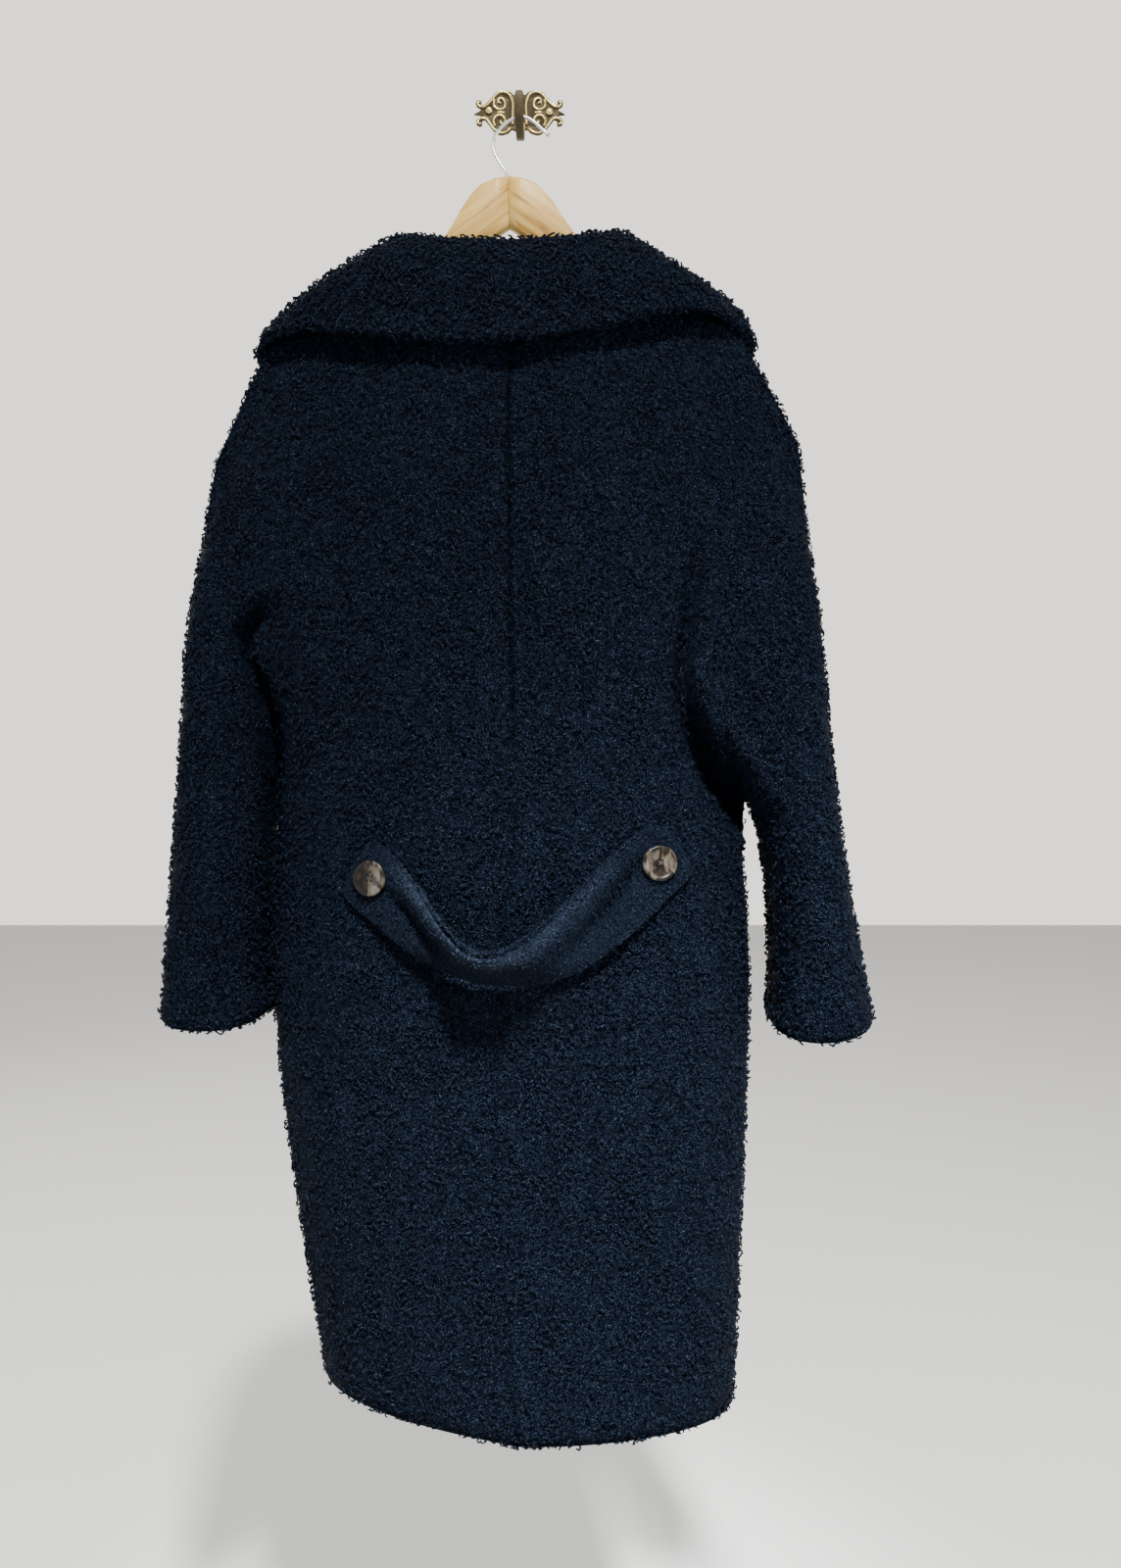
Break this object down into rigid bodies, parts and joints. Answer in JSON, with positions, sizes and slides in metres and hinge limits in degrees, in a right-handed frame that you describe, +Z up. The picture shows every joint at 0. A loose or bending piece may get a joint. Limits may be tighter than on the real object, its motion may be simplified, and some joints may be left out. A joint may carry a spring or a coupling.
{
  "type": "long wool coat on a wooden hanger and a wall hook",
  "caption": "Long navy boucle wool coat with a wide collar and a buttoned half belt, hanging back outwards on a wooden hanger from a brass wall hook",
  "frame": {"origin": "middle of the brass wall plate's back face, on the wall", "axes": "+Z up; +Y into the wall, so the wall is the plane y = 0 and the coat's back faces -Y; +X to the right of someone who looks at the wall, which is also the wearer's right"},
  "size_m": [0.614, 0.2515, 1.1769],
  "materials": {
    "boucle_wool": "very dark navy boucle wool, matt, with small glinting curls",
    "horn": "grey and brown horn, softly polished",
    "beech": "pale beech, satin varnish",
    "steel_wire": "bright plated steel",
    "aged_brass": "aged brass, bright on the raised scrolls and dark in the hollows"
  },
  "bodies": {
    "root": {"back_left": "boucle_wool", "back_right": "boucle_wool", "front_left": "boucle_wool", "front_right": "boucle_wool", "sleeve_left": "boucle_wool", "sleeve_right": "boucle_wool", "lapel_left": "boucle_wool", "lapel_right": "boucle_wool", "collar": "boucle_wool", "belt_outer": "boucle_wool", "belt_inner": "boucle_wool", "button_left": "horn", "button_right": "horn", "hanger_left_arm": "beech", "hanger_right_arm": "beech", "hanger_hook": "steel_wire", "wall_plate": "aged_brass", "wall_prong": "aged_brass", "wall_screw_left": "aged_brass", "wall_screw_right": "aged_brass"}
  },
  "joints": []
}
